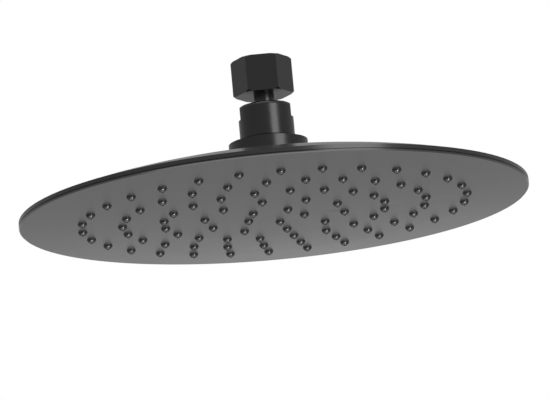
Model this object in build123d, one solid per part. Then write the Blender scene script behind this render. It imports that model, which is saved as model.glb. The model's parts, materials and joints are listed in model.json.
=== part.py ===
from build123d import *
import math
import os

# Rain shower head on a ball joint. Millimetres, +Z up.
# The origin is the centre of the inlet's mouth, where the head screws onto its arm.
# Turned pieces are drawn as half sections: x is the radius and y is the height.

# Clearances
REST_GAP = 0.05         # between fixed pieces that seat on each other
RUN_GAP = 0.08          # between surfaces that slide on each other in the ball joint
THREAD_GAP = 0.05       # between a male thread's envelope and its female one
LOOSE_GAP = 0.3         # round pieces that only pass through a hole
OVERCUT = 1.0           # cuts run this far past the surface that they open

# Inlet: a hexagonal connector with a G 1/2 female thread
INLET_BORE_D = 18.63    # minor diameter of the thread
INLET_THREAD_H = 10.0
RELIEF_D = 21.6         # undercut below the thread, where the gasket lies
RELIEF_H = 3.2
HEX_ACROSS = 26.0
HEX_H = 18.0
HEX_CHAMFER = 1.2
WATERWAY_D = 6.4        # bore through the neck and the ball

# Strainer and flow regulator in the inlet
GASKET_T = 2.4
GASKET_HOLE_D = 12.6
SCREEN_T = 0.3
SCREEN_RISE = 1.7
REGULATOR_D = 13.2
REGULATOR_H = 3.2
REGULATOR_RIM = 1.2
REGULATOR_FLOOR = 1.0
REGULATOR_LEDGE = 1.2   # width of the ledge that it rests on
REGULATOR_POST_D = 3.2
REGULATOR_RING_WIRE = 1.6
REGULATOR_HOLES = 8
REGULATOR_HOLE_D = 1.3

# Ball joint
BALL_D = 17.0
BALL_NECK_D = 10.0
BALL_DROP = 13.5        # from the hexagon's underside to the ball's centre
TILT = 12.0             # degrees each way, about X and about Y
SEAT_T = 1.5            # thickness of the upper seat, measured from the ball outwards
MOUTH_MARGIN = 3.5      # degrees left between the tilted neck and the nut's mouth
SEAL_WIRE = 2.0         # the O-ring below the ball
SEAL_ANGLE = 42.0       # degrees up from the bottom of the ball to that O-ring
SEAT_LEDGE = 5.9        # the socket's ledge, below the ball's centre
SEAT_TOP = 1.4          # the lower seat's top face, below the ball's centre
CUP_WALL = 1.8
CUP_STEP = 0.2          # the cup's bore is this much tighter than the nut's
CUP_LIP = 0.2           # the cup stands this far above the lower seat
CUP_FLOOR_D = 10.4      # the recess that the ball's underside dips into
CUP_FLOOR_DEPTH = 1.0

# Collar, nut and neck
COLLAR_D = 38.9         # the stem's round collar
COLLAR_WALL_H = 7.0     # height of its upright wall
COLLAR_EDGE = 0.6       # bevel at the foot of that wall
COLLAR_RISE = 1.5       # from the top of the wall up to where the nut stands
COLLAR_STEP = 0.5       # from the nut out to where the collar's top starts to fall
COLLAR_DROP = 10.4      # from the ball's centre down to the top of the wall
NUT_WALL = 1.7          # outside the cup's thread
NUT_TOP = 8.2           # the nut's top face, above the ball's centre
NUT_ROUND = 2.0
NUT_EDGE = 0.4
NUT_FLATS = 25.0        # across its two flats for a spanner
NUT_FLATS_H = 7.0
NECK_D = 18.6
NECK_FILLET = 1.2
NECK_H = 11.7           # from the top of the dome to the top of the collar's wall
STEM_BORE_D = 8.0
FOOT_D = 28.0
FOOT_H = 2.4
FOOT_EDGE = 0.8
SHANK_D = 18.0
WASHER_T = 1.0
WASHER_D = 30.0

# Head: a lens with a thin edge
HEAD_D = 250.0
EDGE_H = 3.2            # height of the side wall
DOME_H = 22.3           # top of the dome above the face's edge
FACE_SAG = 2.9          # the face's middle hangs this far below its edge
COVER_T = 2.0
PAD_DEPTH = 0.5         # flat cut into the top of the dome for the stem's washer
COVER_CENTRE_T = 2.4
COVER_CENTRE_W = 1.5    # the thick middle reaches this far past the hub
PLATE_T = 2.0
EDGE_BEVEL = 0.5
SEAM_AT = 0.9           # shadow gap between the face plate and the cover
SEAM_H = 0.4
SEAM_DEPTH = 0.6
TONGUE_T = 1.2
TONGUE_H = 0.55
TONGUE_INSET = 0.4      # from the land's inner edge to the groove
SHOULDER_W = 4.2        # the land at the edge of the face plate

# Water chamber
MAT_T = 1.2
BEAD_RISE = 0.5         # the top of the mat's clamped edge, above the plate's level at the rim
BEAD_W = 3.6
BEAD_MARGIN = 2.9       # from the last nozzles to the bead
CHAMBER_STEP = 2.5      # the roof's underside above the bead
ROOF_T = 2.0
ROOF_SLOPE_W = 2.5
FLANGE_W = 3.8          # from the screws' centres to the flange's edge
COVER_CLEAR = 0.9       # from the flange up to the cover
HUB_D = 34.0
INSERT_T = 3.0          # wall of the brass insert in the hub
INSERT_GROOVE = 0.6
STEM_GASKET_T = 2.0
STEM_GASKET_W = 3.2
RIBS = 10
RIB_T = 1.6
RIB_ROOT = 1.0          # how far each rib runs into the hub
RIB_REACH = 74.0        # outer end of each rib, as a radius
RIB_END_H = 1.6         # height of that end
RIB_DROP = 3.2          # the ribs meet the hub this far below its top

# Screws that clamp the chamber
SCREWS = 10
SCREW_D = 2.9
SCREW_HEAD_D = 5.6
SCREW_HEAD_H = 1.5
SLOT_LEN = 3.9
SLOT_W = 0.9
SLOT_DEPTH = 0.8
BOSS_D = 6.0
PILOT_FLOOR = 1.0       # face plate left under each screw

# Spray nozzles
RING_COUNTS = (5, 10, 20, 25, 30)
FIRST_RING_R = 14.6
PATTERN_TURN = 8.9      # degrees from +X to the line of nozzles that all rings share
NUB_D = 4.5
NUB_PROUD = 2.0         # below the face
NUB_ROUND = 0.8         # round edge of the nub's flat end
NOZZLE_D = 1.2

# Heights of the joint and of the face's edge
BALL_Z = -(HEX_H + BALL_DROP)
COLLAR_Z = BALL_Z - COLLAR_DROP
RIM_Z = COLLAR_Z - NECK_H - DOME_H

# Spheres of the head
HEAD_R = HEAD_D / 2
FACE_R = (HEAD_R**2 + FACE_SAG**2) / (2 * FACE_SAG)
DOME_RISE = DOME_H - EDGE_H
DOME_R = (HEAD_R**2 + DOME_RISE**2) / (2 * DOME_RISE)
INNER_R = DOME_R - COVER_T

# Levels of the water chamber, above the face's edge
PAD_Z = DOME_H - PAD_DEPTH
HUB_TOP = PAD_Z - COVER_CENTRE_T
LAND_Z = SEAM_AT + SEAM_H


def face_z(r):
    """Height of the face's underside at radius r."""
    return RIM_Z - FACE_SAG + FACE_R - math.sqrt(FACE_R**2 - r**2)


def cover_z(r, radius=DOME_R):
    """Height at radius r of the cover's outer sphere, or of its inner one."""
    return RIM_Z + DOME_H - DOME_R + math.sqrt(radius**2 - r**2)


def cover_radius(z, radius=INNER_R):
    """Radius at which the cover's inner sphere is at height z."""
    up = z - (RIM_Z + DOME_H - DOME_R)
    return math.sqrt(radius**2 - up**2)


# The bead's top is level, so that the flat flange seats on it. The flange ends where the cover
# leaves it room, and the screws, the mat and the outer nozzles follow inwards from there.
BEAD_TOP = RIM_Z + PLATE_T + BEAD_RISE
FLANGE_TOP = BEAD_TOP + ROOF_T
FLANGE_R = cover_radius(FLANGE_TOP + COVER_CLEAR)
SCREW_R = FLANGE_R - FLANGE_W
SCREW_LEN = FLANGE_TOP - face_z(SCREW_R) - PILOT_FLOOR - REST_GAP
MAT_R = SCREW_R - BOSS_D / 2 - LOOSE_GAP
LAST_RING_R = MAT_R - BEAD_W - BEAD_MARGIN - NUB_D / 2
RING_PITCH = (LAST_RING_R - FIRST_RING_R) / (len(RING_COUNTS) - 1)
ROOF_Z = BEAD_TOP + CHAMBER_STEP
HUB_FLOOR = ROOF_Z + ROOF_T

# Radii of the ball joint
BALL_R = BALL_D / 2
SEAT_R = BALL_R + RUN_GAP
UPPER_SEAT_R = SEAT_R + SEAT_T
NUT_SEAT_R = UPPER_SEAT_R + RUN_GAP
CUP_R = NUT_SEAT_R - CUP_STEP
CUP_THREAD_R = CUP_R + CUP_WALL
CUP_TOP = BALL_Z - SEAT_TOP + CUP_LIP
NUT_R = CUP_THREAD_R + THREAD_GAP + NUT_WALL

# Degrees down from the top of the ball. Both tilts together lean the neck by the diagonal one, and the
# upper seat stays covered by the nut when it leans with one of them.
DIAGONAL_TILT = math.degrees(math.acos(math.cos(math.radians(TILT)) ** 2))
MOUTH_ANGLE = math.degrees(math.asin(BALL_NECK_D / 2 / NUT_SEAT_R)) + DIAGONAL_TILT + MOUTH_MARGIN
UPPER_SEAT_FROM = MOUTH_ANGLE + TILT
UPPER_SEAT_TO = 90 - TILT


def turned(*lines):
    """Solid turned about Z from a closed half section."""
    return revolve(Plane.XZ * make_face(Curve() + list(lines)), Axis.Z)


def around(shape, count, radius, turn=0.0):
    """Copies of a shape on a circle about Z."""
    return [Rot(0, 0, turn + 360 * i / count) * Pos(radius, 0, 0) * shape for i in range(count)]


def drilled(diameter, z_low, z_high):
    """Round bar on the Z axis, for cutting a hole."""
    return Pos(0, 0, z_low) * extrude(Circle(diameter / 2), z_high - z_low)


def ring(outer_r, inner_r, z_low, z_high):
    """Flat ring on the Z axis."""
    return Pos(0, 0, z_low) * extrude(Circle(outer_r) - Circle(inner_r), z_high - z_low)


def torus(centre_r, wire, z):
    """O-ring of a given wire on the Z axis."""
    return Pos(0, 0, z) * Torus(centre_r, wire / 2)


def on_ball(radius, angle):
    """Point of a half section at a radius from the ball's centre, an angle down from its top."""
    a = math.radians(angle)
    return (radius * math.sin(a), BALL_Z + radius * math.cos(a))


def ball_arc(radius, start, end):
    """Arc about the ball's centre, between two angles down from its top."""
    middle = (start + end) / 2
    return ThreePointArc(on_ball(radius, start), on_ball(radius, middle), on_ball(radius, end))


def face_arc(r_from, r_to, up):
    """Arc of the face's sphere, raised by a thickness."""
    points = [(r, face_z(r) + up) for r in (r_from, (r_from + r_to) / 2, r_to)]
    return ThreePointArc(*points)


def cover_arc(r_from, r_to, radius):
    """Arc of one of the cover's spheres."""
    points = [(r, cover_z(r, radius)) for r in (r_from, (r_from + r_to) / 2, r_to)]
    return ThreePointArc(*points)


def nozzle_places():
    """Middle of every nozzle, as a radius and an angle."""
    places = []
    for i, count in enumerate(RING_COUNTS):
        radius = FIRST_RING_R + i * RING_PITCH
        places += [(radius, PATTERN_TURN + 360 * k / count) for k in range(count)]
    return places


def at_nozzles(make):
    """One shape for each nozzle, made for its radius and turned to its angle."""
    made = {radius: make(radius) for radius, _ in nozzle_places()}
    return [Rot(0, 0, angle) * Pos(radius, 0, 0) * made[radius] for radius, angle in nozzle_places()]


def ball_connector():
    """Brass piece that stays on the arm: hexagon with the female thread, neck and ball."""
    corner_r = HEX_ACROSS / 2 / math.cos(math.pi / 6)
    hexagon = Pos(0, 0, -HEX_H) * extrude(RegularPolygon(HEX_ACROSS / 2, 6, major_radius=False), HEX_H)
    rise = HEX_CHAMFER * math.tan(math.radians(30))
    blank = turned(
        Polyline(
            (0, 0),
            (corner_r - HEX_CHAMFER, 0),
            (corner_r, -rise),
            (corner_r, rise - HEX_H),
            (corner_r - HEX_CHAMFER, -HEX_H),
            (0, -HEX_H),
            close=True,
        )
    )
    seat_z = -INLET_THREAD_H - RELIEF_H
    body = (hexagon & blank) + Pos(0, 0, BALL_Z) * Sphere(BALL_R)
    body += drilled(BALL_NECK_D, BALL_Z, -HEX_H)
    body -= drilled(INLET_BORE_D, -INLET_THREAD_H, 0)
    body -= drilled(RELIEF_D, seat_z, -INLET_THREAD_H)
    ledge_z = seat_z - REGULATOR_H - REST_GAP
    body -= drilled(REGULATOR_D + 2 * REST_GAP, ledge_z, seat_z)
    funnel_r = REGULATOR_D / 2 - REGULATOR_LEDGE
    waterway_r = WATERWAY_D / 2
    depth = funnel_r - waterway_r
    low_centre = (Align.CENTER, Align.CENTER, Align.MIN)
    body -= Pos(0, 0, ledge_z - depth) * Cone(waterway_r, funnel_r, depth, align=low_centre)
    return body - drilled(WATERWAY_D, BALL_Z - BALL_D, seat_z)


def filter_screen():
    """Strainer: a shallow dome with a flat rim, under the gasket."""
    low = -INLET_THREAD_H - RELIEF_H
    rim_r = RELIEF_D / 2 - 2 * LOOSE_GAP
    dome_r = GASKET_HOLE_D / 2 - LOOSE_GAP
    outer = (dome_r**2 + SCREEN_RISE**2) / (2 * SCREEN_RISE)
    inner = outer - SCREEN_T
    centre = low + SCREEN_T + SCREEN_RISE - outer
    inner_r = math.sqrt(inner**2 - (low - centre) ** 2)

    def sphere(radius, r):
        return (r, centre + math.sqrt(radius**2 - r**2))

    return turned(
        Line(sphere(inner, 0), sphere(outer, 0)),
        ThreePointArc(sphere(outer, 0), sphere(outer, dome_r / 2), sphere(outer, dome_r)),
        Polyline((dome_r, low + SCREEN_T), (rim_r, low + SCREEN_T), (rim_r, low), (inner_r, low)),
        ThreePointArc(sphere(inner, inner_r), sphere(inner, inner_r / 2), sphere(inner, 0)),
    )


def filter_gasket():
    """Rubber washer that the arm's end presses on."""
    low = -INLET_THREAD_H - RELIEF_H + SCREEN_T
    return ring(RELIEF_D / 2 - LOOSE_GAP, GASKET_HOLE_D / 2, low, low + GASKET_T)


def regulator_floor_z():
    return -INLET_THREAD_H - RELIEF_H - REGULATOR_H


def flow_regulator():
    """Plastic disc with a post, round which its O-ring closes the holes as pressure rises."""
    low = regulator_floor_z()
    outer_r = REGULATOR_D / 2
    body = drilled(REGULATOR_D, low, low + REGULATOR_H)
    body -= drilled(REGULATOR_D - 2 * REGULATOR_RIM, low + REGULATOR_FLOOR, low + REGULATOR_H)
    body += drilled(REGULATOR_POST_D, low, low + REGULATOR_H - REST_GAP)
    holes_r = (REGULATOR_POST_D / 2 + REGULATOR_RING_WIRE + outer_r - REGULATOR_RIM) / 2
    hole = drilled(REGULATOR_HOLE_D, low - OVERCUT, low + REGULATOR_FLOOR + OVERCUT)
    return body - around(hole, REGULATOR_HOLES, holes_r)


def regulator_ring():
    """O-ring round the regulator's post."""
    z = regulator_floor_z() + REGULATOR_FLOOR + REGULATOR_RING_WIRE / 2
    return torus(REGULATOR_POST_D / 2 + REST_GAP + REGULATOR_RING_WIRE / 2, REGULATOR_RING_WIRE, z)


def upper_ball_seat():
    """Acetal ring over the ball. Both of its faces are spheres about the ball's centre."""
    return turned(
        ball_arc(SEAT_R, UPPER_SEAT_FROM, UPPER_SEAT_TO),
        Line(on_ball(SEAT_R, UPPER_SEAT_TO), on_ball(UPPER_SEAT_R, UPPER_SEAT_TO)),
        ball_arc(UPPER_SEAT_R, UPPER_SEAT_TO, UPPER_SEAT_FROM),
        Line(on_ball(UPPER_SEAT_R, UPPER_SEAT_FROM), on_ball(SEAT_R, UPPER_SEAT_FROM)),
    )


def lower_ball_seat():
    """Acetal cup that carries the ball from below, in the stem's socket."""
    block = drilled(2 * (CUP_R - RUN_GAP), BALL_Z - SEAT_LEDGE + REST_GAP, BALL_Z - SEAT_TOP)
    return block - Pos(0, 0, BALL_Z) * Sphere(SEAT_R)


def seal_place():
    """Radius and height of the middle of the O-ring's wire below the ball."""
    a = math.radians(SEAL_ANGLE)
    reach = SEAT_R + SEAL_WIRE / 2
    return (reach * math.sin(a), BALL_Z - reach * math.cos(a))


def ball_seal():
    """O-ring that seals the ball in the socket."""
    r, z = seal_place()
    return torus(r, SEAL_WIRE, z)


def collar_nut():
    """Brass nut that screws over the socket and holds the ball in."""
    low = COLLAR_Z + COLLAR_RISE
    shoulder = CUP_TOP + CUP_LIP
    top = BALL_Z + NUT_TOP
    thread_r = CUP_THREAD_R + THREAD_GAP
    lip = on_ball(NUT_SEAT_R, MOUTH_ANGLE)
    mouth_r = NUT_TOP * math.tan(math.radians(MOUTH_ANGLE))
    nut = turned(
        Polyline((thread_r, low), (NUT_R - NUT_EDGE, low), (NUT_R, low + NUT_EDGE), (NUT_R, top - NUT_ROUND)),
        RadiusArc((NUT_R, top - NUT_ROUND), (NUT_R - NUT_ROUND, top), -NUT_ROUND),
        Polyline((NUT_R - NUT_ROUND, top), (mouth_r, top), lip),
        ball_arc(NUT_SEAT_R, MOUTH_ANGLE, 90),
        Polyline(
            (NUT_SEAT_R, BALL_Z),
            (NUT_SEAT_R, shoulder),
            (thread_r, shoulder),
            (thread_r, low),
        ),
    )
    beside = (Align.MIN, Align.CENTER, Align.MIN)
    flat = Pos(NUT_FLATS / 2, 0, top - NUT_FLATS_H) * Box(NUT_R, 2 * NUT_R, 2 * NUT_FLATS_H, align=beside)
    return nut - flat - Rot(0, 0, 180) * flat


def stem():
    """Turned brass stem: socket for the ball, round collar, neck, foot and threaded shank."""
    out = COLLAR_D / 2
    neck_r = NECK_D / 2
    collar_top = COLLAR_Z + COLLAR_RISE
    collar_low = COLLAR_Z - COLLAR_WALL_H
    ledge = BALL_Z - SEAT_LEDGE
    seal_r, seal_z = seal_place()
    pocket_r = seal_r + SEAL_WIRE / 2 + REST_GAP
    pocket_z = seal_z - SEAL_WIRE / 2 - REST_GAP
    floor_z = pocket_z - CUP_FLOOR_DEPTH
    foot_low = RIM_Z + PAD_Z + WASHER_T
    foot_top = foot_low + FOOT_H
    end = HUB_FLOOR + STEM_GASKET_T
    bore_r = STEM_BORE_D / 2
    shank_r = SHANK_D / 2
    foot_r = FOOT_D / 2
    return turned(
        Polyline(
            (bore_r, end),
            (shank_r - FOOT_EDGE, end),
            (shank_r, end + FOOT_EDGE),
            (shank_r, foot_low),
            (foot_r, foot_low),
            (foot_r, foot_top - FOOT_EDGE),
            (foot_r - FOOT_EDGE, foot_top),
            (neck_r, foot_top),
            (neck_r, collar_low - NECK_FILLET),
        ),
        RadiusArc((neck_r, collar_low - NECK_FILLET), (neck_r + NECK_FILLET, collar_low), NECK_FILLET),
        Polyline(
            (neck_r + NECK_FILLET, collar_low),
            (out - COLLAR_EDGE, collar_low),
            (out, collar_low + COLLAR_EDGE),
            (out, COLLAR_Z),
            (NUT_R + COLLAR_STEP, collar_top),
            (CUP_THREAD_R, collar_top),
            (CUP_THREAD_R, CUP_TOP),
            (CUP_R, CUP_TOP),
            (CUP_R, ledge),
            (pocket_r, ledge),
            (pocket_r, pocket_z),
            (CUP_FLOOR_D / 2, pocket_z),
            (CUP_FLOOR_D / 2, floor_z),
            (bore_r, floor_z),
            (bore_r, end),
        ),
    )


def cover_washer():
    """Nylon washer between the stem's foot and the cover."""
    low = RIM_Z + PAD_Z
    return ring(WASHER_D / 2, SHANK_D / 2 + LOOSE_GAP, low, low + WASHER_T)


def back_cover():
    """Domed cover. Its edge stands on the face plate's land, with a tongue in the groove."""
    pad_z = RIM_Z + PAD_Z
    pad_r = math.sqrt(2 * DOME_R * PAD_DEPTH - PAD_DEPTH**2)
    hole_r = SHANK_D / 2 + LOOSE_GAP
    land = RIM_Z + LAND_Z
    inner_r = cover_radius(land)
    tongue_out = groove_outer_r() - REST_GAP
    tongue_in = tongue_out - TONGUE_T
    tongue_low = land - TONGUE_H
    centre_r = HUB_D / 2 + COVER_CENTRE_W
    shell = turned(
        Polyline((hole_r, pad_z), (pad_r, pad_z)),
        cover_arc(pad_r, HEAD_R, DOME_R),
        Polyline((HEAD_R, RIM_Z + EDGE_H), (HEAD_R, land), (inner_r, land)),
        cover_arc(inner_r, centre_r, INNER_R),
        Polyline(
            (centre_r, cover_z(centre_r, INNER_R)),
            (centre_r, RIM_Z + HUB_TOP),
            (hole_r, RIM_Z + HUB_TOP),
            (hole_r, pad_z),
        ),
    )
    tongue_top = cover_z(tongue_in, INNER_R) + COVER_T / 2
    return shell + ring(tongue_out, tongue_in, tongue_low, tongue_top)


def groove_outer_r():
    """Outer wall of the groove in the face plate's land."""
    return HEAD_R - SHOULDER_W + TONGUE_INSET + TONGUE_T + 2 * REST_GAP


def chamber_plate():
    """Roof of the water chamber, with the hub for the stem and ribs above it."""
    hub_r = HUB_D / 2
    insert_r = SHANK_D / 2 + THREAD_GAP + INSERT_T + REST_GAP
    hub_top = RIM_Z + HUB_TOP - REST_GAP
    bore_r = STEM_BORE_D / 2
    roof_r = MAT_R - BEAD_W - REST_GAP
    roof_top_r = roof_r + ROOF_SLOPE_W
    body = turned(
        Polyline(
            (bore_r, ROOF_Z),
            (roof_r - ROOF_SLOPE_W, ROOF_Z),
            (roof_r, BEAD_TOP),
            (FLANGE_R, BEAD_TOP),
            (FLANGE_R, FLANGE_TOP),
            (roof_top_r, FLANGE_TOP),
            (roof_top_r - ROOF_SLOPE_W, HUB_FLOOR),
            (hub_r, HUB_FLOOR),
            (hub_r, hub_top),
            (insert_r, hub_top),
            (insert_r, HUB_FLOOR),
            (bore_r, HUB_FLOOR),
            close=True,
        )
    )
    rib_low = HUB_FLOOR - ROOF_T / 2
    outline = Plane.XZ * make_face(
        Polyline(
            (hub_r - RIB_ROOT, rib_low),
            (RIB_REACH, rib_low),
            (RIB_REACH, HUB_FLOOR + RIB_END_H),
            (hub_r - RIB_ROOT, hub_top - RIB_DROP),
            close=True,
        )
    )
    rib = extrude(outline, RIB_T / 2, both=True)
    body += [Rot(0, 0, 360 * i / RIBS) * rib for i in range(RIBS)]
    sink = Pos(0, 0, FLANGE_TOP - SCREW_HEAD_H) * Cone(
        SCREW_D / 2 + REST_GAP,
        SCREW_HEAD_D / 2 + REST_GAP,
        SCREW_HEAD_H,
        align=(Align.CENTER, Align.CENTER, Align.MIN),
    )
    hole = drilled(SCREW_D + 2 * REST_GAP, BEAD_TOP - OVERCUT, FLANGE_TOP)
    return body - around(hole + sink, SCREWS, SCREW_R)


def hub_insert():
    """Threaded brass bush moulded into the hub, with two grooves that anchor it."""
    inner_r = SHANK_D / 2 + THREAD_GAP
    outer_r = inner_r + INSERT_T
    top = RIM_Z + HUB_TOP - REST_GAP
    body = ring(outer_r, inner_r, HUB_FLOOR, top)
    height = top - HUB_FLOOR
    for share in (1 / 3, 2 / 3):
        middle = HUB_FLOOR + share * height
        groove_r = outer_r - INSERT_GROOVE
        body -= ring(outer_r + OVERCUT, groove_r, middle - INSERT_GROOVE, middle + INSERT_GROOVE)
    return body


def stem_gasket():
    """Flat rubber ring between the stem's end and the hub's floor."""
    outer_r = SHANK_D / 2 - REST_GAP
    return ring(outer_r, outer_r - STEM_GASKET_W, HUB_FLOOR, HUB_FLOOR + STEM_GASKET_T)


def chamber_screws():
    """Countersunk screws that clamp the chamber plate to the face plate's bosses."""
    low = FLANGE_TOP - SCREW_LEN
    point = SCREW_D / 2
    screw = turned(
        Polyline(
            (0, low),
            (SCREW_D / 4, low),
            (SCREW_D / 2, low + point),
            (SCREW_D / 2, FLANGE_TOP - SCREW_HEAD_H),
            (SCREW_HEAD_D / 2, FLANGE_TOP),
            (0, FLANGE_TOP),
            close=True,
        )
    )
    arm = Pos(0, 0, FLANGE_TOP - SLOT_DEPTH / 2) * Box(SLOT_LEN, SLOT_W, SLOT_DEPTH)
    screw -= arm + Rot(0, 0, 90) * arm
    return Compound(children=around(screw, SCREWS, SCREW_R))


def nozzle_mat():
    """Silicone mat with one nub for each nozzle. The nubs pass through the face plate."""
    low = PLATE_T + REST_GAP
    edge_r = MAT_R
    bead_r = edge_r - BEAD_W
    sheet = turned(
        Line((0, face_z(0) + low + MAT_T), (0, face_z(0) + low)),
        face_arc(0, edge_r, low),
        Polyline(
            (edge_r, face_z(edge_r) + low),
            (edge_r, BEAD_TOP),
            (bead_r, BEAD_TOP),
            (bead_r, face_z(bead_r) + low + MAT_T),
        ),
        face_arc(bead_r, 0, low + MAT_T),
    )

    def nub(radius):
        tip = face_z(radius) - NUB_PROUD
        root = face_z(radius) + low + MAT_T / 2
        wide = NUB_D / 2
        flat = wide - NUB_ROUND
        return turned(
            Polyline((flat, tip), (0, tip), (0, root), (wide, root), (wide, tip + NUB_ROUND)),
            RadiusArc((wide, tip + NUB_ROUND), (flat, tip), NUB_ROUND),
        )

    def bore(radius):
        tip = face_z(radius) - NUB_PROUD
        return drilled(NOZZLE_D, tip - OVERCUT, face_z(radius) + low + MAT_T + OVERCUT)

    return sheet + at_nozzles(nub) - at_nozzles(bore)


def face_plate():
    """Domed face with a hole for each nub, bosses for the screws, and the land for the cover."""
    land = RIM_Z + LAND_Z
    seam_r = HEAD_R - SEAM_DEPTH
    land_r = HEAD_R - SHOULDER_W
    groove_r = groove_outer_r()
    plate = turned(
        Line((0, face_z(0) + PLATE_T), (0, face_z(0))),
        face_arc(0, HEAD_R - EDGE_BEVEL, 0),
        Polyline(
            (HEAD_R - EDGE_BEVEL, face_z(HEAD_R - EDGE_BEVEL)),
            (HEAD_R, RIM_Z + EDGE_BEVEL),
            (HEAD_R, RIM_Z + SEAM_AT),
            (seam_r, RIM_Z + SEAM_AT),
            (seam_r, land),
            (groove_r, land),
            (groove_r, land - TONGUE_H - REST_GAP),
            (land_r + TONGUE_INSET, land - TONGUE_H - REST_GAP),
            (land_r + TONGUE_INSET, land),
            (land_r, land),
            (land_r, face_z(land_r) + PLATE_T),
        ),
        face_arc(land_r, 0, PLATE_T),
    )
    boss_low = face_z(SCREW_R) + PLATE_T / 2
    boss = drilled(BOSS_D, boss_low, BEAD_TOP)
    pilot = drilled(SCREW_D + 2 * REST_GAP, FLANGE_TOP - SCREW_LEN - REST_GAP, BEAD_TOP + OVERCUT)
    plate += around(boss, SCREWS, SCREW_R)
    plate -= around(pilot, SCREWS, SCREW_R)

    def nub_hole(radius):
        return drilled(NUB_D + 2 * REST_GAP, face_z(radius) - OVERCUT, face_z(radius) + PLATE_T + OVERCUT)

    return plate - at_nozzles(nub_hole)


PIECES = {
    "ball_connector": ball_connector,
    "filter_screen": filter_screen,
    "filter_gasket": filter_gasket,
    "flow_regulator": flow_regulator,
    "regulator_ring": regulator_ring,
    "upper_ball_seat": upper_ball_seat,
    "lower_ball_seat": lower_ball_seat,
    "ball_seal": ball_seal,
    "collar_nut": collar_nut,
    "stem": stem,
    "cover_washer": cover_washer,
    "back_cover": back_cover,
    "hub_insert": hub_insert,
    "stem_gasket": stem_gasket,
    "chamber_plate": chamber_plate,
    "chamber_screws": chamber_screws,
    "nozzle_mat": nozzle_mat,
    "face_plate": face_plate,
}

os.makedirs("parts", exist_ok=True)
for name, make in PIECES.items():
    export_step(make(), f"parts/{name}.step")
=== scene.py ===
# %% [markdown]
# # Rain shower head
#
# A ten inch rain head hangs from its arm on a ball joint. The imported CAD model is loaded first, and every
# piece stays where that model has it. This lesson adds the finishes, the nozzles' domed ends, the inlet's
# thread, the woven strainer, the light and the camera.

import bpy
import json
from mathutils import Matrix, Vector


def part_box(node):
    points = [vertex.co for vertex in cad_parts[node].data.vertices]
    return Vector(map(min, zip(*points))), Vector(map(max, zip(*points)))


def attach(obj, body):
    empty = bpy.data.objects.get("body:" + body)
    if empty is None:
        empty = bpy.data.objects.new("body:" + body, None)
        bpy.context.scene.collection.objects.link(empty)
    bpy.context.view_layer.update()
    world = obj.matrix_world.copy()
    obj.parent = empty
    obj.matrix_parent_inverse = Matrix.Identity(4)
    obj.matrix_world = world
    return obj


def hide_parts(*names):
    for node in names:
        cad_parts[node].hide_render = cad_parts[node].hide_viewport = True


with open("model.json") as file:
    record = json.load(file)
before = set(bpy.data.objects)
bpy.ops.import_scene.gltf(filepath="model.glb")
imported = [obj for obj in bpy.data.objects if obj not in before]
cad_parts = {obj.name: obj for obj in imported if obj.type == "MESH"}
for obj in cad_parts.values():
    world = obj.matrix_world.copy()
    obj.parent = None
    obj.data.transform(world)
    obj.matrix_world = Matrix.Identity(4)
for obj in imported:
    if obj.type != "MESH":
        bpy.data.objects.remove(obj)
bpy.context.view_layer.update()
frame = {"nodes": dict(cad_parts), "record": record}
print("nodes:", len(frame["nodes"]))

# %% [markdown]
# Blender's own modules come next. All lengths are in metres, so one small value turns millimetres into
# metres, and the code can keep the sizes that a maker would read off a drawing.

# %% Modules and units
import json
import math

import bmesh
import bpy
from mathutils import Matrix, Vector

MM = 0.001


def box_mm(node):
    """Lowest and highest corner of a node, in millimetres."""
    low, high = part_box(node)
    return low / MM, high / MM


print("head is", round(box_mm("face_plate")[1].x * 2, 1), "mm across")

# %% [markdown]
# ## Two helpers for finishes
#
# Paint makers give colours as sRGB hex values, while Blender's shaders work with linear light. One
# function does that change for every colour. A second one adds a shader node, sets its inputs and links
# it, so that each finish below reads as a short list of what it is made of.

# %% Colour and node helpers


def linear(hex_colour):
    """Linear colour of an sRGB hex value."""
    parts = [int(hex_colour[i : i + 2], 16) / 255 for i in (1, 3, 5)]
    return [p / 12.92 if p <= 0.04045 else ((p + 0.055) / 1.055) ** 2.4 for p in parts] + [1.0]


def add(tree, kind, inputs=(), **settings):
    """A new node. Inputs are set by name, and a value that is another node's socket is linked."""
    node = tree.nodes.new(kind)
    for name, value in settings.items():
        setattr(node, name, value)
    for name, value in dict(inputs).items():
        if isinstance(value, bpy.types.NodeSocket):
            tree.links.new(value, node.inputs[name])
        else:
            node.inputs[name].default_value = value
    return node


print("mid grey is", round(linear("#808080")[0], 3), "in linear light")

# %% [markdown]
# Every finish starts the same way: a principled shader of its own, and the object's coordinates. A noise
# scale counts features in a metre, so it is worked out from a real width in millimetres.

# %% Start a finish


def finish(name, metallic=0.0, ior=1.5):
    """A new material, with its tree, its principled shader and its object coordinates."""
    made = bpy.data.materials.new(name)
    made.use_nodes = True
    tree = made.node_tree
    tree.nodes.clear()
    shader = add(tree, "ShaderNodeBsdfPrincipled", {"Metallic": metallic, "IOR": ior})
    add(tree, "ShaderNodeOutputMaterial", {"Surface": shader.outputs["BSDF"]})
    place = add(tree, "ShaderNodeTexCoord").outputs["Object"]
    return made, tree, shader, place


def per_mm(size_mm):
    """Noise scale at which one feature is that many millimetres wide."""
    return 1 / (size_mm * MM)


print("a 0.5 mm grain is a noise scale of", per_mm(0.5))

# %% [markdown]
# No real surface has one flat value all over. Paint is a little thicker here and there, and hands polish
# it unevenly. An image could carry that, but noise of a real size needs no unwrapping and fits any
# piece. So soft clouds vary the colour and the gloss of each finish together.

# %% Clouds in a finish
CLOUD_LOW, CLOUD_HIGH = 0.3, 0.7  # most of the noise lies between these


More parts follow.
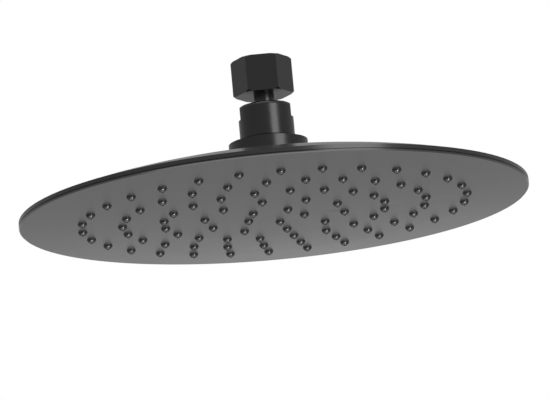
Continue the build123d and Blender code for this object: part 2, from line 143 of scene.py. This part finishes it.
def mottle(tree, shader, place, size_mm, colour, second, gloss):
    """Clouds of a real size between two near colours and two near roughnesses."""
    cloud = add(tree, "ShaderNodeTexNoise", {"Vector": place, "Scale": per_mm(size_mm), "Detail": 2.0})
    value = cloud.outputs["Fac"]
    colours = {"Factor": value, "A": linear(colour), "B": linear(second)}
    tint = add(tree, "ShaderNodeMix", colours, data_type="RGBA")
    tree.links.new(tint.outputs["Result"], shader.inputs["Base Color"])
    span = {"Value": value, "From Min": CLOUD_LOW, "From Max": CLOUD_HIGH}
    rough = add(tree, "ShaderNodeMapRange", span | {"To Min": gloss[0], "To Max": gloss[1]})
    tree.links.new(rough.outputs["Result"], shader.inputs["Roughness"])


print("clouds lie between", CLOUD_LOW, "and", CLOUD_HIGH)

# %% [markdown]
# The way a piece was made stays in its surface. A mould leaves an even, fine texture, and a turning tool
# leaves rings along the axis. Both are far too shallow to model, so they are relief in the shader, with
# the depth that they really have.

# %% Marks of the mould and of the tool


def mould_texture(tree, shader, place, size_mm, depth_mm, detail=2.0):
    """Fine grain of a real width and depth."""
    grain = add(tree, "ShaderNodeTexNoise", {"Vector": place, "Scale": per_mm(size_mm), "Detail": detail})
    relief = add(tree, "ShaderNodeBump", {"Height": grain.outputs["Fac"], "Distance": depth_mm * MM})
    tree.links.new(relief.outputs["Normal"], shader.inputs["Normal"])


def tool_rings(tree, shader, place, pitch_mm, depth_mm, wander):
    """Rings along the axis, a given pitch apart, that wander a little."""
    scale = per_mm(pitch_mm) / math.tau
    waves = {"Vector": place, "Scale": scale, "Distortion": wander}
    rings = add(tree, "ShaderNodeTexWave", waves, bands_direction="Z")
    relief = add(tree, "ShaderNodeBump", {"Height": rings.outputs["Fac"], "Distance": depth_mm * MM})
    tree.links.new(relief.outputs["Normal"], shader.inputs["Normal"])


print("rings 0.2 mm apart are a wave scale of", round(per_mm(0.2) / math.tau))

# %% [markdown]
# ## Black ABS with a satin lacquer
#
# The face and the cover are moulded ABS, lacquered satin black. The lacquer hides the moulding's flow
# lines but keeps a fine, soft texture that breaks up reflections. It could be drawn as a clear coat over
# a base, but a black lacquer shows no base, so one layer is enough. Seen at a low angle, as here, it
# mirrors its surroundings, so the black looks dark grey.

# %% Black ABS


def black_abs():
    """Moulded ABS under satin lacquer: a deep black with a wide, soft sheen."""
    made, tree, shader, place = finish("satin_black_lacquer_on_abs", ior=1.5)
    mottle(tree, shader, place, 60.0, "#1d1d1e", "#212122", (0.20, 0.24))
    mould_texture(tree, shader, place, 0.4, 0.004)
    return made


BLACK_ABS = black_abs()
print("made", BLACK_ABS.name)

# %% [markdown]
# ## Silicone nozzles
#
# The nubs are moulded silicone, so that lime can be rubbed off. Liquid silicone comes out of a polished
# mould with a wet gloss, and each nub mirrors a lamp as one small spot. Real silicone lets a little light
# in, but in black that can't be seen, so no light is scattered under its surface here.

# %% Silicone


def silicone():
    """Moulded black silicone: soft black with a clear, small highlight."""
    made, tree, shader, place = finish("moulded_black_silicone", ior=1.41)
    mottle(tree, shader, place, 9.0, "#161617", "#1c1c1d", (0.10, 0.15))
    mould_texture(tree, shader, place, 0.25, 0.002, detail=1.0)
    return made


SILICONE = silicone()
print("made", SILICONE.name)

# %% [markdown]
# ## Lacquered brass
#
# The connector, the nut and the stem are turned from brass bar and lacquered black with the head. The
# lacquer covers the metal, so this isn't a metallic shader. What shows of the brass is how it was made:
# faint rings under thin paint.

# %% Lacquered brass


def black_brass():
    """Turned brass under satin black lacquer: a soft upright streak, with faint tool rings."""
    made, tree, shader, place = finish("satin_black_lacquer_on_brass", ior=1.5)
    mottle(tree, shader, place, 14.0, "#1a1a1b", "#1f1f20", (0.24, 0.28))
    tool_rings(tree, shader, place, 0.2, 0.0015, 0.4)
    return made


BLACK_BRASS = black_brass()
print("made", BLACK_BRASS.name)

# %% [markdown]
# ## The inner pieces
#
# Inside are plain engineering materials. Each gets its own colour and its own small texture. A metal
# keeps the default index of refraction, and its colour is its reflection.

# %% Moulded plastics and rubber


def plastic(name, colour, second, roughness, grain_mm, ior):
    """Moulded plastic or rubber: an even colour with a fine mould texture."""
    made, tree, shader, place = finish(name, ior=ior)
    mottle(tree, shader, place, 6.0, colour, second, (roughness, roughness + 0.08))
    mould_texture(tree, shader, place, grain_mm, 0.006)
    return made


NATURAL_ABS = plastic("natural_abs", "#e2dccb", "#d8d1be", 0.42, 0.5, 1.53)
ACETAL = plastic("white_acetal", "#efefea", "#e6e6e0", 0.34, 0.4, 1.48)
NYLON = plastic("black_nylon", "#202020", "#262625", 0.44, 0.4, 1.53)
RUBBER = plastic("black_rubber", "#1b1b1b", "#222221", 0.62, 0.3, 1.52)
BLUE_ACETAL = plastic("blue_acetal", "#3f74b5", "#386aa8", 0.34, 0.4, 1.48)
print("made", NATURAL_ABS.name, ACETAL.name, NYLON.name, RUBBER.name, BLUE_ACETAL.name)

# %% Bare metals


def metal(name, colour, second, roughness, ring_mm):
    """Turned or drawn metal: fine rings along the axis under a soft reflection."""
    made, tree, shader, place = finish(name, metallic=1.0)
    mottle(tree, shader, place, 5.0, colour, second, (roughness, roughness + 0.1))
    tool_rings(tree, shader, place, ring_mm, 0.002, 0.5)
    return made


BRASS = metal("turned_brass", "#d9b56a", "#cda75b", 0.24, 0.2)
STEEL = metal("stainless_steel", "#c9c8c4", "#bdbcb8", 0.26, 0.15)
print("made", BRASS.name, STEEL.name)

# %% [markdown]
# Now each node of the CAD model gets its finish. Only the materials change. The shapes stay as packed.

# %% Give every node its finish
FINISHES = {
    "ball_connector": BLACK_BRASS,
    "filter_screen": STEEL,
    "filter_gasket": RUBBER,
    "flow_regulator": BLUE_ACETAL,
    "regulator_ring": RUBBER,
    "upper_ball_seat": ACETAL,
    "lower_ball_seat": ACETAL,
    "ball_seal": RUBBER,
    "collar_nut": BLACK_BRASS,
    "stem": BLACK_BRASS,
    "cover_washer": NYLON,
    "back_cover": BLACK_ABS,
    "hub_insert": BRASS,
    "stem_gasket": RUBBER,
    "chamber_plate": NATURAL_ABS,
    "chamber_screws": STEEL,
    "nozzle_mat": SILICONE,
    "face_plate": BLACK_ABS,
}
for name, material in FINISHES.items():
    for slot in frame["nodes"][name].material_slots:
        slot.material = material
print("finished", len(FINISHES), "nodes")

# %% [markdown]
# ## Meshes for the finest shapes
#
# Three nodes get a finer mesh of their own here. All are built by the same two steps: points are laid on
# rings, and neighbouring points are joined by faces. Modifiers such as a screw or an array could do
# part of it, but a few lines of mesh code keep every size in view. Lengths stay in millimetres until a
# point is written.

# %% Mesh helpers
MERGE_MM = 0.0005


def around(mesh, section, steps, middle=(0.0, 0.0)):
    """Adds a closed half section, turned about an upright line, to a bmesh. Points are (radius, height)."""
    rings = []
    for k in range(steps):
        a = math.tau * k / steps
        east, north = math.cos(a), math.sin(a)
        places = [((middle[0] + r * east) * MM, (middle[1] + r * north) * MM, z * MM) for r, z in section]
        rings.append([mesh.verts.new(p) for p in places])
    for k in range(steps):
        near, far = rings[k - 1], rings[k]
        for i in range(len(section)):
            mesh.faces.new((near[i - 1], near[i], far[i], far[i - 1]))


def piece(name, mesh, material, body, sharp_degrees=30):
    """Object from a bmesh, joined up, smooth but for its sharp edges, riding on a body."""
    bmesh.ops.remove_doubles(mesh, verts=mesh.verts, dist=MERGE_MM * MM)
    bmesh.ops.recalc_face_normals(mesh, faces=mesh.faces)
    data = bpy.data.meshes.new(name)
    mesh.to_mesh(data)
    mesh.free()
    # normals that came with a copied mesh no longer fit its new faces
    if "custom_normal" in data.attributes:
        data.attributes.remove(data.attributes["custom_normal"])
    data.shade_smooth()
    data.set_sharp_from_angle(angle=math.radians(sharp_degrees))
    data.materials.append(material)
    made = bpy.data.objects.new(name, data)
    bpy.context.collection.objects.link(made)
    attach(made, body)
    return made


BODY_OF = {node: body for body, nodes in frame["record"]["behaviour"]["bodies"].items() for node in nodes}
print("the nozzle mat moves with", BODY_OF["nozzle_mat"])

# %% [markdown]
# ## The nozzle mat
#
# One silicone mat lies on the inner side of the face and follows its sphere. Its 90 nubs stand in five
# rings, which all share one line through the middle. Each nub is a short cylinder with a domed end. The
# dome mirrors the dim room in its upper part and the light from below in its lower part, which is what
# gives the rows of nubs their look.

# %% Sizes of the mat
FACE_SAG = 2.9  # how far the middle of the face lies below its edge
PLATE_T = 2.05
MAT_T = 1.2
BEAD_W = 3.6
BEAD_MARGIN = 2.9  # from the bead to the outer nozzles
RING_COUNTS = (5, 10, 20, 25, 30)
FIRST_RING_R = 14.6
PATTERN_TURN = 8.9
NUB_R = 2.25
NUB_PROUD = 2.0
NUB_DOME = 1.5
BORE_R = 0.6

HEAD_R = box_mm("face_plate")[1].x
RIM_Z = box_mm("face_plate")[0].z + FACE_SAG
FACE_R = (HEAD_R**2 + FACE_SAG**2) / (2 * FACE_SAG)


def face_z(r):
    """Height of the face's underside at radius r."""
    return RIM_Z - FACE_SAG + FACE_R - math.sqrt(FACE_R**2 - r**2)


print("the face is part of a sphere of", round(FACE_R), "mm radius")

# %% The sheet and one nub
SHEET_RINGS = 16
SHEET_STEPS = 120
DOME_RINGS = 10
NUB_STEPS = 28


def mat_sheet(mesh):
    """The mat without its nubs: a sheet on the face plate's inner side, with a level bead round it."""
    mat_r, top = box_mm("nozzle_mat")[1].x, box_mm("nozzle_mat")[1].z
    bead_r = mat_r - BEAD_W
    below = [mat_r * i / SHEET_RINGS for i in range(SHEET_RINGS + 1)]
    above = [bead_r * i / SHEET_RINGS for i in range(SHEET_RINGS, -1, -1)]
    section = [(r, face_z(r) + PLATE_T) for r in below] + [(mat_r, top), (bead_r, top)]
    section += [(r, face_z(r) + PLATE_T + MAT_T) for r in above]
    around(mesh, section, SHEET_STEPS)


def nub(mesh, radius, degrees):
    """One nub with its bore: a cylinder whose end is part of a sphere."""
    tip = face_z(radius) - NUB_PROUD
    root = face_z(radius) + PLATE_T + MAT_T / 2
    ball = (NUB_R**2 + NUB_DOME**2) / (2 * NUB_DOME)
    out = [BORE_R + (NUB_R - BORE_R) * math.sin(math.pi / 2 * i / DOME_RINGS) for i in range(DOME_RINGS + 1)]
    dome = [(r, tip + ball - math.sqrt(ball**2 - r**2)) for r in out]
    section = [(BORE_R, root)] + dome + [(NUB_R, root)]
    a = math.radians(degrees)
    around(mesh, section, NUB_STEPS, (radius * math.cos(a), radius * math.sin(a)))


print("a nub has", NUB_STEPS * (DOME_RINGS + 3), "faces")

# %% The whole mat


def nozzle_mat():
    """The sheet and its rings of nubs, in place of the CAD mat."""
    mesh = bmesh.new()
    mat_sheet(mesh)
    last_ring_r = box_mm("nozzle_mat")[1].x - BEAD_W - BEAD_MARGIN - NUB_R
    pitch = (last_ring_r - FIRST_RING_R) / (len(RING_COUNTS) - 1)
    for i, count in enumerate(RING_COUNTS):
        for k in range(count):
            nub(mesh, FIRST_RING_R + i * pitch, PATTERN_TURN + 360 * k / count)
    made = piece("nozzle_mat_domed", mesh, SILICONE, BODY_OF["nozzle_mat"])
    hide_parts("nozzle_mat")
    return made


print("nozzle mat faces:", len(nozzle_mat().data.polygons), "nozzles:", sum(RING_COUNTS))

# %% [markdown]
# ## The inlet's thread
#
# The inlet has a G 1/2 female thread: 14 turns to the inch, with flanks 55 degrees apart. The CAD model
# has a plain bore there. That bore is taken out of a copy of the connector's mesh, and a threaded wall
# goes in. The wall is one grid of points, and its radius follows the thread's profile up a helix. The
# groove fades out at both ends, where it meets the bore's edges.

# %% Profile of the thread
THREAD_MINOR_R = 9.315
THREAD_DEPTH = 1.162
THREAD_PITCH = 1.814
THREAD_H = 10.0
THREAD_FADE = 0.9
# a flank's width as a share of half the pitch
FLANK = THREAD_DEPTH * math.tan(math.radians(27.5)) / (THREAD_PITCH / 2)


def thread_r(turns, height):
    """Radius of the thread's wall. Turns is the angle as a share of a full turn, height is from the mouth."""
    phase = (height / THREAD_PITCH + turns) % 1
    groove = min(max(((1 + FLANK) / 2 - abs(2 * phase - 1)) / FLANK, 0.0), 1.0)
    fade = min(-height / THREAD_FADE, (THREAD_H + height) / THREAD_FADE, 1.0)
    return THREAD_MINOR_R + THREAD_DEPTH * groove * max(fade, 0.0)


print("major diameter", round(2 * (THREAD_MINOR_R + THREAD_DEPTH), 3), "mm")

# %% Threaded connector
THREAD_LAYERS = 120
THREAD_STEPS = 120
NEAR_MM = 0.05


def is_bore(face):
    """True for a face of the plain bore that the thread takes the place of."""
    heights = [v.co.z / MM for v in face.verts]
    off = max(abs(math.hypot(v.co.x, v.co.y) / MM - THREAD_MINOR_R) for v in face.verts)
    level = min(heights) > -THREAD_H - NEAR_MM and max(heights) < NEAR_MM
    return level and off < NEAR_MM and abs(face.normal.z) < 0.5


def thread_wall(mesh):
    """Adds the threaded wall to a bmesh, from the mouth down."""
    layers = []
    for i in range(THREAD_LAYERS + 1):
        z = -THREAD_H * i / THREAD_LAYERS
        # half a step round, so that no point of the wall falls on one of the mouth's edge
        turns = [(k + 0.5) / THREAD_STEPS for k in range(THREAD_STEPS)]
        places = [(thread_r(turn, z), math.tau * turn) for turn in turns]
        ring = [(r * math.cos(a) * MM, r * math.sin(a) * MM, z * MM) for r, a in places]
        layers.append([mesh.verts.new(p) for p in ring])
    for upper, lower in zip(layers, layers[1:]):
        for k in range(THREAD_STEPS):
            mesh.faces.new((upper[k - 1], lower[k - 1], lower[k], upper[k]))


def threaded_connector():
    """Copy of the connector with its thread."""
    mesh = bmesh.new()
    mesh.from_mesh(frame["nodes"]["ball_connector"].data)
    bmesh.ops.delete(mesh, geom=[f for f in mesh.faces if is_bore(f)], context="FACES")
    thread_wall(mesh)
    made = piece("threaded_connector", mesh, BLACK_BRASS, BODY_OF["ball_connector"], sharp_degrees=12)
    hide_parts("ball_connector")
    return made


print("connector faces:", len(threaded_connector().data.polygons))

# %% [markdown]
# ## The woven strainer
#
# The strainer lies under the arm's washer, where it is seen through the inlet. It is woven from stainless
# wire, which passes over and under in turn, and pressed into a shallow dome with a flat rim. A picture
# of a weave with see-through gaps would do from afar, but real wires also catch the light. A point on
# the dome is given by its place seen from above and its lift off the dome's middle surface.

# %% Sizes of the strainer
SCREEN_T = 0.3
SCREEN_DOME_R = 6.0
RIM_LAP = 0.1  # the rim overlaps the ends of the wires
WIRE_D = SCREEN_T / 2
WIRE_PITCH = 0.6

SCREEN_LOW, SCREEN_HIGH = box_mm("filter_screen")
SCREEN_RISE = SCREEN_HIGH.z - SCREEN_LOW.z - SCREEN_T
SCREEN_OUTER = (SCREEN_DOME_R**2 + SCREEN_RISE**2) / (2 * SCREEN_RISE)  # radius of the dome's upper side


def on_dome(u, v, lift):
    """Point on the strainer's dome, in millimetres."""
    middle = SCREEN_OUTER - SCREEN_T / 2
    out = Vector((u, v, math.sqrt(middle**2 - u**2 - v**2)))
    return Vector((0, 0, SCREEN_HIGH.z - SCREEN_OUTER)) + out * (1 + lift / middle)


print("the strainer's dome rises", round(SCREEN_RISE, 2), "mm")

# %% One wire
WIRE_SIDES = 6
WIRE_STEPS = 4  # from one crossing to the next


def wire(mesh, path, across):
    """A round tube along a path, with closed ends. Across is a direction square to the path."""
    angles = [math.tau * k / WIRE_SIDES for k in range(WIRE_SIDES)]
    rings = []
    for i, point in enumerate(path):
        ahead = (path[min(i + 1, len(path) - 1)] - path[max(i - 1, 0)]).normalized()
        up = ahead.cross(across).normalized()
        side = up.cross(ahead)
        ring = [point + (side * math.cos(a) + up * math.sin(a)) * WIRE_D / 2 for a in angles]
        rings.append([mesh.verts.new(p * MM) for p in ring])
    for near, far in zip(rings, rings[1:]):
        for k in range(WIRE_SIDES):
            mesh.faces.new((near[k - 1], near[k], far[k], far[k - 1]))
    mesh.faces.new(rings[0])
    mesh.faces.new(rings[-1])


print("a wire is", WIRE_D, "mm thick")

# %% Weave and rim
RIM_STEPS = 96


def weave(mesh):
    """Wires both ways on the dome, each over and under the others in turn."""
    count = int(2 * SCREEN_DOME_R / WIRE_PITCH)
    first = -(count - 1) / 2 * WIRE_PITCH
    for j in range(count):
        v = first + j * WIRE_PITCH
        half = math.sqrt(SCREEN_DOME_R**2 - v**2)
        steps = round(2 * half / WIRE_PITCH * WIRE_STEPS)
        along = [half * (2 * i / steps - 1) for i in range(steps + 1)]
        lifts = [WIRE_D / 2 * (-1) ** j * math.cos(math.pi * (u - first) / WIRE_PITCH) for u in along]
        wire(mesh, [on_dome(u, v, lift) for u, lift in zip(along, lifts)], Vector((0, 1, 0)))
        wire(mesh, [on_dome(v, u, -lift) for u, lift in zip(along, lifts)], Vector((1, 0, 0)))


def woven_strainer():
    """The weave and the flat rim round it, in place of the CAD strainer."""
    mesh = bmesh.new()
    weave(mesh)
    low, rim_r, inner_r = SCREEN_LOW.z, SCREEN_HIGH.x, SCREEN_DOME_R - RIM_LAP
    rim = [(inner_r, low), (rim_r, low), (rim_r, low + SCREEN_T), (inner_r, low + SCREEN_T)]
    around(mesh, rim, RIM_STEPS)
    made = piece("woven_strainer", mesh, STEEL, BODY_OF["filter_screen"], sharp_degrees=75)
    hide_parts("filter_screen")
    return made


print("strainer faces:", len(woven_strainer().data.polygons))

# %% [markdown]
# ## The room
#
# The head hangs high over a pale floor in a studio whose background is white. Only the camera sees that
# white. Everything else sees a dimmer room, so that the black finishes stay black where they mirror it.

# %% World
ROOM_LEVEL = 0.42


def white_world():
    """White background for the camera, and an even, dimmer light on everything else."""
    world = bpy.data.worlds.new("studio_world")
    bpy.context.scene.world = world
    world.use_nodes = True
    tree = world.node_tree
    tree.nodes.clear()
    seen = add(tree, "ShaderNodeLightPath").outputs["Is Camera Ray"]
    room = add(tree, "ShaderNodeBackground", {"Color": linear("#ffffff"), "Strength": ROOM_LEVEL})
    white = add(tree, "ShaderNodeBackground", {"Color": linear("#ffffff"), "Strength": 1.0})
    levels = {1: room.outputs["Background"], 2: white.outputs["Background"]}
    mix = add(tree, "ShaderNodeMixShader", {0: seen} | levels)
    add(tree, "ShaderNodeOutputWorld", {"Surface": mix.outputs["Shader"]})
    return world


print("made", white_world().name)

# %% Floor
FLOOR_Z = -4.2
FLOOR_HALF = 30.0


def floor():
    """Pale floor far below the head, wide enough to be seen as endless."""
    mesh = bpy.data.meshes.new("floor")
    corners = [(x * FLOOR_HALF, y * FLOOR_HALF, FLOOR_Z) for x, y in ((-1, -1), (1, -1), (1, 1), (-1, 1))]
    mesh.from_pydata(corners, [], [(0, 1, 2, 3)])
    made = bpy.data.objects.new("floor", mesh)
    bpy.context.collection.objects.link(made)
    material, tree, shader, place = finish("pale_floor")
    mottle(tree, shader, place, 400.0, "#f4f4f3", "#efefee", (0.9, 0.9))
    mesh.materials.append(material)
    return made


print("made the", floor().name, -FLOOR_Z, "m below the inlet")

# %% [markdown]
# ## The lamps
#
# Soft lamps are white sheets of light. A black, glossy object shows them as reflections more than as
# light, so each one stands where its mirror image is wanted. The key lamp at the right makes the upright
# streak on the collar and the side wall. The low lamp lights the face and the nubs' ends. The front lamp
# puts a bright spot on each nub, the back lamp lies beyond the far edge of the face, and the top lamp
# lights the dome and the floor.

# %% Lamps


def lamp(name, azimuth, elevation, distance, width, height, power):
    """Soft lamp aimed at the head. Azimuth 0 is the camera's side, and grows to the camera's right."""
    a, e = math.radians(azimuth), math.radians(elevation)
    way = Vector((math.sin(a) * math.cos(e), -math.cos(a) * math.cos(e), math.sin(e)))
    data = bpy.data.lights.new(name, "AREA")
    data.shape = "RECTANGLE"
    data.size, data.size_y, data.energy = width, height, power
    made = bpy.data.objects.new(name, data)
    made.location = Vector((0, 0, box_mm("face_plate")[0].z * MM)) + way * distance
    made.rotation_mode = "QUATERNION"
    made.rotation_quaternion = (-way).to_track_quat("-Z", "Y")
    bpy.context.collection.objects.link(made)
    return made


# angles in degrees, then distance, width and height in metres, then power in watts
lamp("key_lamp", 36, 8, 2.4, 1.2, 1.6, 24)
lamp("low_lamp", 0, -80, 2.6, 3.3, 3.3, 84)
lamp("front_lamp", 22, -50, 2.4, 0.8, 0.6, 46)
lamp("back_lamp", 180, -3, 5.0, 5.0, 0.9, 4)
lamp("top_lamp", 0, 90, 10.0, 10.0, 10.0, 560)

# %% [markdown]
# ## The camera
#
# The camera stands low and far away, looks up at the face by twelve degrees and is turned a little, as
# the photograph is. Its place was found from the rings of nozzles, whose true layout is known.

# %% Camera
LENS_MM = 292.35
SENSOR_MM = 36.0
LOOK_UP = math.radians(11.953)
TURN = math.radians(-5.25)
# from the middle of the face's edge plane
CAMERA_FROM_RIM = Vector((0.00077, -2.13706, -0.4473))


def camera():
    """Camera of the photograph."""
    data = bpy.data.cameras.new("camera")
    data.lens, data.sensor_width = LENS_MM, SENSOR_MM
    data.clip_start, data.clip_end = 0.05, 200.0
    made = bpy.data.objects.new("camera", data)
    right = Vector((1, 0, 0))
    up = Vector((0, -math.sin(LOOK_UP), math.cos(LOOK_UP)))
    ahead = Vector((0, math.cos(LOOK_UP), math.sin(LOOK_UP)))
    turned_right = right * math.cos(TURN) + up * math.sin(TURN)
    turned_up = up * math.cos(TURN) - right * math.sin(TURN)
    axes = Matrix((turned_right, turned_up, -ahead)).transposed().to_4x4()
    made.matrix_world = Matrix.Translation(Vector((0, 0, RIM_Z * MM)) + CAMERA_FROM_RIM) @ axes
    bpy.context.collection.objects.link(made)
    bpy.context.scene.camera = made
    return made


print("camera at", [round(v, 3) for v in camera().matrix_world.translation])

# %% [markdown]
# The last cell sets the plain view transform.

# %% Close the scene
bpy.context.scene.view_settings.view_transform = "Standard"
